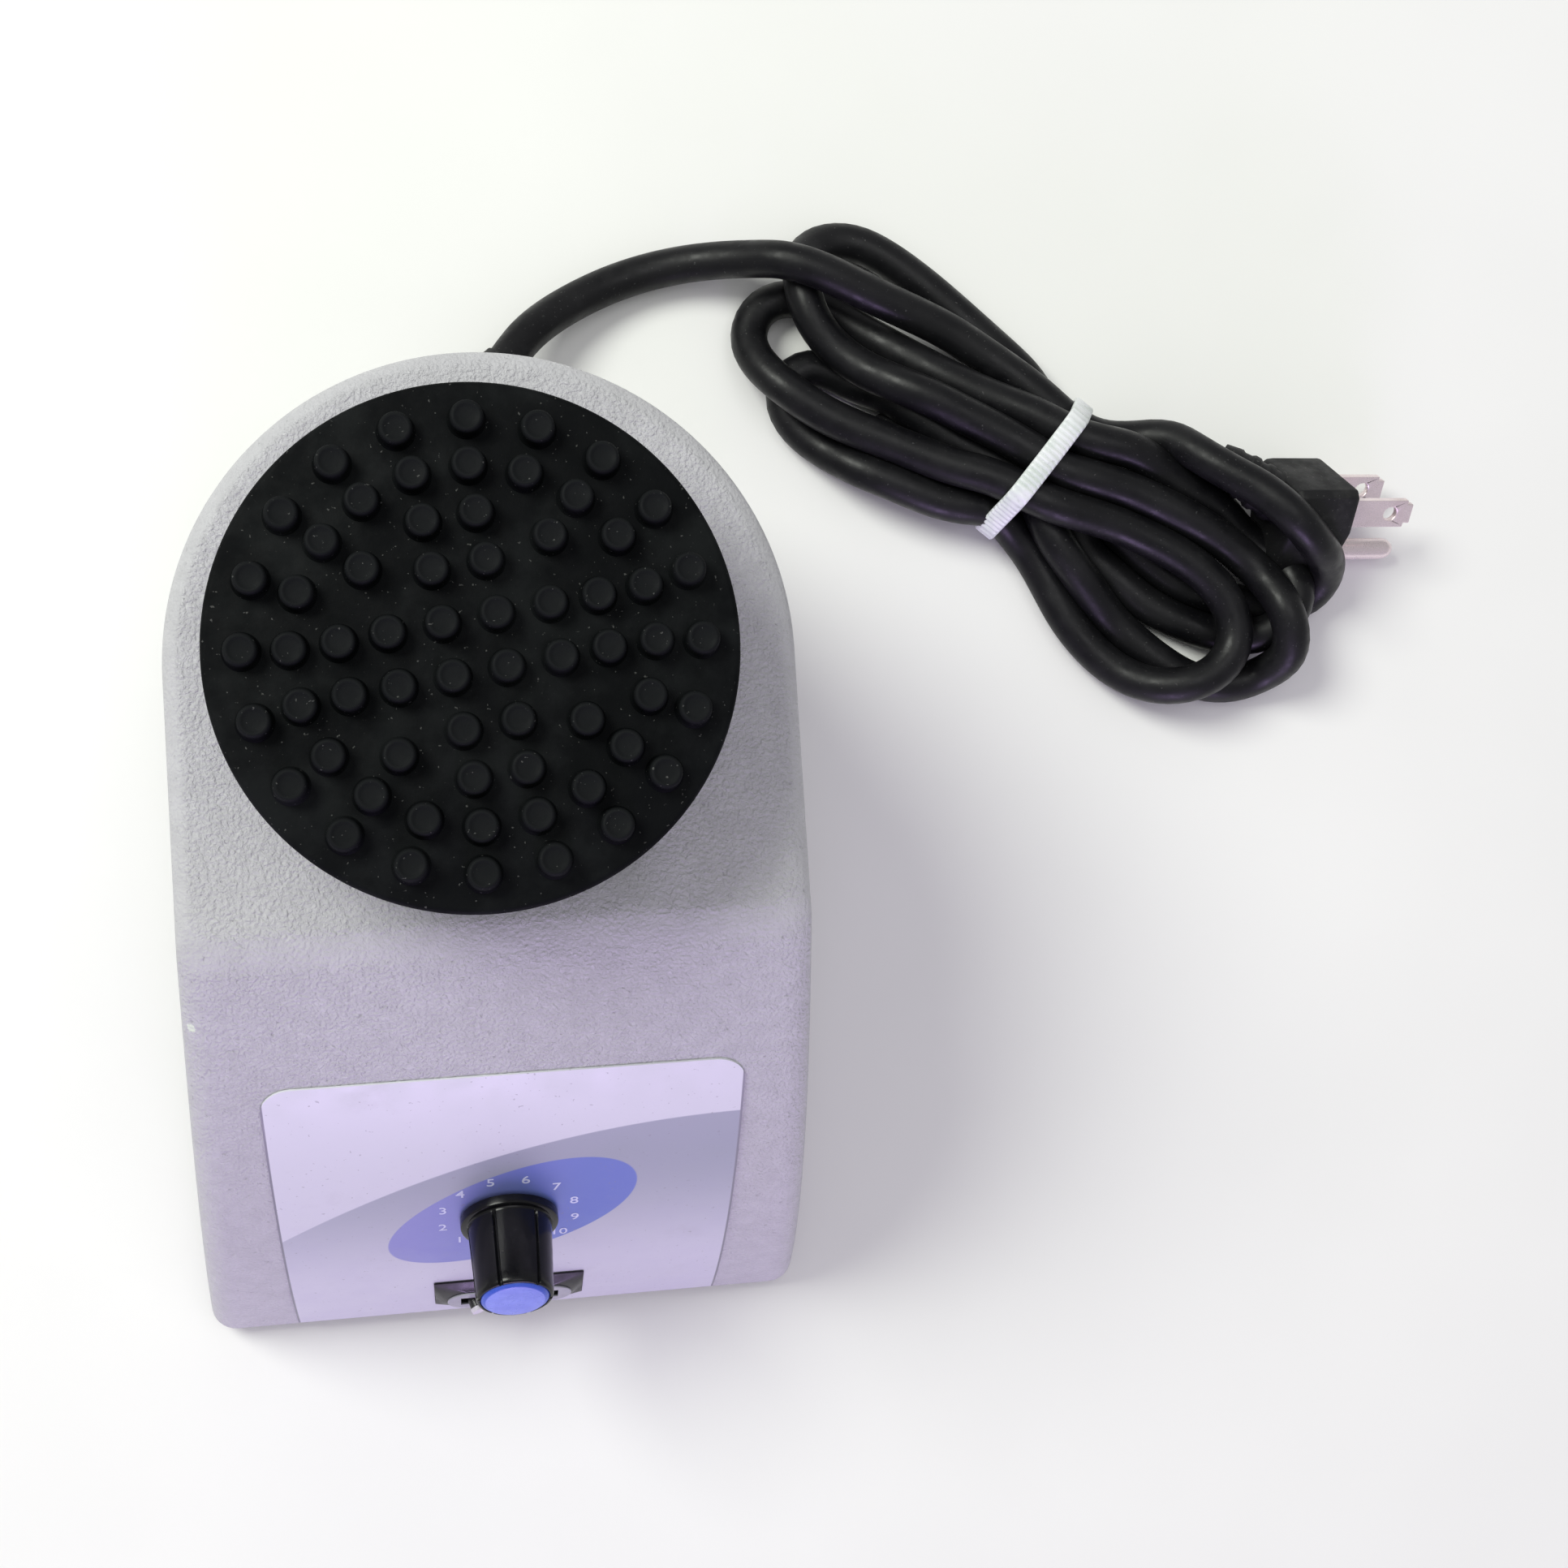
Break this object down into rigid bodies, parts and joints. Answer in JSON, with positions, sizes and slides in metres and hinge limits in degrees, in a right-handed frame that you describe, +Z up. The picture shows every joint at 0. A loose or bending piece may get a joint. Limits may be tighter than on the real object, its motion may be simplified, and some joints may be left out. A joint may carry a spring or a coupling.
{
  "type": "vortex mixer",
  "caption": "Bench vortex mixer with a round rubber platform on an orbiting head, a curved front panel with speed dial and mode lever, and a tied mains cord.",
  "frame": {"origin": "middle of the footprint, on the bench under the feet, cord and plug left out", "axes": "+Z up, +X to the right seen from the front, +Y to the back; the front panel, dial and mode lever face -Y and +Y runs along the housing's length"},
  "size_m": [0.2694, 0.226, 0.1352],
  "materials": {
    "paint_white": "wrinkle-finish enamel",
    "steel_plate": "zinc-plated sheet",
    "rubber_foot": "matt",
    "steel_screw": "bright",
    "label_film": "printed film, satin",
    "switch_black": "satin",
    "switch_grey": "satin",
    "switch_shell": "plain",
    "lever_black": "satin",
    "lever_grey": "satin",
    "pot_case": "moulded",
    "pot_metal": "turned",
    "knob_black": "glossy",
    "knob_blue": "glossy",
    "pointer_grey": "satin",
    "set_screw": "blackened",
    "collar_rubber": "matt",
    "bracket_alloy": "cast, satin",
    "bronze": "sintered bronze",
    "core_steel": "laminated, dull",
    "winding": "varnished copper wire",
    "bolt_steel": "zinc plated",
    "mount_rubber": "matt",
    "shaft_steel": "ground",
    "rotor_steel": "turned",
    "fan_plastic": "moulded",
    "hub_iron": "machined",
    "bearing_steel": "ground",
    "head_alloy": "machined",
    "plate_alloy": "satin",
    "pad_rubber": "matt, dusty",
    "button_nylon": "natural nylon",
    "ball_steel": "polished",
    "spring_steel": "drawn wire",
    "micro_switch": "moulded",
    "board_green": "soldermask",
    "standoff_nylon": "natural nylon",
    "heatsink_alloy": "extruded",
    "capacitor_film": "sleeved",
    "terminal_white": "moulded",
    "earth_brass": "stamped",
    "wire_green": "insulated wire",
    "relief_rubber": "moulded",
    "cord_black": "satin jacket",
    "tie_white": "translucent nylon",
    "plug_black": "moulded, matt",
    "blade_nickel": "nickel plated brass"
  },
  "bodies": {
    "body": {"housing": "paint_white", "base_plate": "steel_plate", "rubber_feet": "rubber_foot", "foot_screws": "steel_screw", "front_label": "label_film", "switch_bezel": "switch_black", "switch_plate": "switch_grey", "switch_body": "switch_shell", "pot_body": "pot_case", "pot_bushing": "pot_metal", "pot_nut": "pot_metal", "splash_collar": "collar_rubber", "lower_bracket": "bracket_alloy", "upper_bracket": "bracket_alloy", "lower_bearing": "bronze", "upper_bearing": "bronze", "stator_stack": "core_steel", "motor_windings": "winding", "motor_bolts": "bolt_steel", "motor_nuts": "bolt_steel", "rubber_mounts": "mount_rubber", "lift_spring": "spring_steel", "touch_switch": "micro_switch", "circuit_board": "board_green", "board_standoffs": "standoff_nylon", "heatsink": "heatsink_alloy", "capacitor": "capacitor_film", "terminal_block": "terminal_white", "earth_terminal": "earth_brass", "internal_wires": "wire_green", "strain_relief": "relief_rubber", "cord_lead": "cord_black", "cord_hank": "cord_black", "cable_tie": "tie_white", "plug_body": "plug_black", "plug_blades": "blade_nickel", "plug_ground_pin": "blade_nickel"},
    "rotor": {"motor_shaft": "shaft_steel", "rotor_core": "rotor_steel", "cooling_fan": "fan_plastic", "counterweight_hub": "hub_iron", "hub_set_screw": "set_screw", "eccentric_pin": "shaft_steel"},
    "head": {"head_bearing": "bearing_steel", "head_hub": "head_alloy", "platform_plate": "plate_alloy", "platform_screws": "steel_screw", "platform_pad": "pad_rubber"},
    "press": {"thrust_button": "button_nylon", "thrust_ball": "ball_steel"},
    "knob": {"pot_shaft": "pot_metal", "knob_body": "knob_black", "knob_cap": "knob_blue", "knob_pointer": "pointer_grey", "knob_set_screw": "set_screw"},
    "lever": {"switch_lever": "lever_black", "lever_tip": "lever_grey"}
  },
  "joints": [
    {"name": "touch_press", "type": "slide", "parent": "body", "child": "press", "axis": [0, 0, 1], "range_m": [-0.002, 0], "stiffness_N_per_m": 3000, "springref_m": 0.002, "deforming": ["lift_spring"]},
    {"name": "drive_spin", "type": "hinge", "parent": "press", "child": "rotor", "pos_m": [0, 0.032, 0.06], "axis": [0, 0, 1], "continuous": true},
    {"name": "head_counter_spin", "type": "hinge", "parent": "rotor", "child": "head", "pos_m": [-0.0023, 0.03116, 0.113], "axis": [0, 0, 1], "continuous": true},
    {"name": "speed_knob", "type": "hinge", "parent": "body", "child": "knob", "pos_m": [0, -0.06769, 0.05103], "axis": [0, 0.8229, -0.5682], "range_deg": [0, 270]},
    {"name": "mode_lever", "type": "slide", "parent": "body", "child": "lever", "axis": [1, 0, 0], "range_m": [0, 0.0146]}
  ],
  "couplings": [
    {"joint": "head_counter_spin", "follows": "drive_spin", "ratio": -1}
  ]
}
